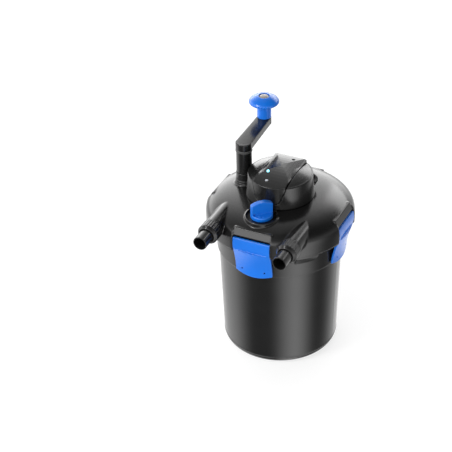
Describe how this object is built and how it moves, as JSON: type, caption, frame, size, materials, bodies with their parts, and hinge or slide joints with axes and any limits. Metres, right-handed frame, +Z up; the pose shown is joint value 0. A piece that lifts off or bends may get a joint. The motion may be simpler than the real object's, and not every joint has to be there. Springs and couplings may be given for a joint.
{
  "type": "pressurized pond filter",
  "caption": "Round pressurised pond filter with a clamped domed lid, UV clarifier head, flow dial, cleaning crank and two unioned hose tails.",
  "frame": {"origin": "centre of the canister's flat base", "axes": "+Z up along the canister's axis; -Y towards the hose tails and the dial; the crank is at -X"},
  "size_m": [0.3334, 0.3894, 0.5572],
  "materials": {
    "gloss_black": "polished injection-moulded black ABS",
    "dark_plastic": "plain dark grey moulded plastic",
    "blue_plastic": "satin-gloss bright blue moulded plastic",
    "steel": "stainless steel",
    "rubber": "black nitrile rubber",
    "natural_plastic": "natural white acetal",
    "grey_cap": "warm grey moulded cap",
    "foam_coarse": "open-cell filter foam",
    "status_light": "translucent cyan indicator lens",
    "quartz": "clear fused quartz",
    "lamp_glass": "lamp glass"
  },
  "bodies": {
    "vessel": {"canister": "gloss_black", "lid": "gloss_black", "lid_seal": "rubber", "latch_pins": "steel", "inlet_tail": "gloss_black", "outlet_tail": "gloss_black", "tail_seals": "rubber", "inlet_duct": "dark_plastic", "outlet_duct": "dark_plastic", "valve_body": "dark_plastic", "dial_seal": "rubber", "crank_bush": "natural_plastic", "crank_gland": "gloss_black", "crank_seal": "rubber", "centre_tube": "dark_plastic", "squeeze_bars": "dark_plastic", "media_grid": "dark_plastic", "bio_balls": "natural_plastic", "uv_housing": "gloss_black", "uv_cover": "gloss_black", "cover_screws": "steel", "status_lens": "status_light", "cable_gland": "dark_plastic", "gland_nut": "gloss_black", "quartz_sleeve": "quartz", "sleeve_seal": "rubber", "sleeve_ring": "dark_plastic", "uvc_lamp": "lamp_glass", "lamp_holder": "dark_plastic", "ballast": "dark_plastic"},
    "latch_front": {"latch_front": "blue_plastic"},
    "latch_right": {"latch_right": "blue_plastic"},
    "latch_back": {"latch_back": "blue_plastic"},
    "latch_left": {"latch_left": "blue_plastic"},
    "inlet_nut": {"inlet_nut": "gloss_black"},
    "outlet_nut": {"outlet_nut": "gloss_black"},
    "dial": {"dial_knob": "blue_plastic", "dial_spindle": "steel", "valve_rotor": "natural_plastic"},
    "foam_pack": {"carrier_gear": "natural_plastic", "carrier_top": "dark_plastic", "carrier_base": "dark_plastic", "tie_rods": "steel", "tie_nuts": "steel", "sponge_lower": "foam_coarse", "sponge_middle": "foam_coarse", "sponge_upper": "foam_coarse"},
    "crank": {"drive_shaft": "steel", "crank_column": "gloss_black", "column_ring": "dark_plastic", "crank_arm": "gloss_black", "knob_spindle": "steel", "knob_screw": "steel", "drive_pinion": "natural_plastic", "pinion_clip": "steel"},
    "handle": {"crank_knob": "blue_plastic", "knob_cap": "grey_cap"}
  },
  "joints": [
    {"name": "latch_front_open", "type": "hinge", "parent": "vessel", "child": "latch_front", "pos_m": [0, -0.1578, 0.3473], "axis": [-1, 0, 0], "range_deg": [0, 100]},
    {"name": "latch_right_open", "type": "hinge", "parent": "vessel", "child": "latch_right", "pos_m": [0.1578, 0, 0.3473], "axis": [0, -1, 0], "range_deg": [0, 100]},
    {"name": "latch_back_open", "type": "hinge", "parent": "vessel", "child": "latch_back", "pos_m": [0, 0.1578, 0.3473], "axis": [1, 0, 0], "range_deg": [0, 100]},
    {"name": "latch_left_open", "type": "hinge", "parent": "vessel", "child": "latch_left", "pos_m": [-0.1578, 0, 0.3473], "axis": [0, 1, 0], "range_deg": [0, 100]},
    {"name": "inlet_nut_turn", "type": "hinge", "parent": "vessel", "child": "inlet_nut", "pos_m": [-0.094, -0.17, 0.363], "axis": [0, -1, 0], "continuous": true},
    {"name": "outlet_nut_turn", "type": "hinge", "parent": "vessel", "child": "outlet_nut", "pos_m": [0.094, -0.17, 0.363], "axis": [0, -1, 0], "continuous": true},
    {"name": "dial_turn", "type": "hinge", "parent": "vessel", "child": "dial", "pos_m": [0, -0.1035, 0.395], "axis": [0, 0, 1], "range_deg": [0, 90]},
    {"name": "foam_turn", "type": "hinge", "parent": "vessel", "child": "foam_pack", "pos_m": [0, 0, 0.34], "axis": [0, 0, 1], "continuous": true},
    {"name": "crank_turn", "type": "hinge", "parent": "vessel", "child": "crank", "pos_m": [-0.09403, 0.00939, 0.43], "axis": [0, 0, 1], "continuous": true},
    {"name": "handle_spin", "type": "hinge", "parent": "crank", "child": "handle", "pos_m": [-0.09403, 0.12139, 0.53], "axis": [0, 0, 1], "continuous": true}
  ],
  "couplings": [
    {"joint": "crank_turn", "follows": "foam_turn", "ratio": -2}
  ]
}
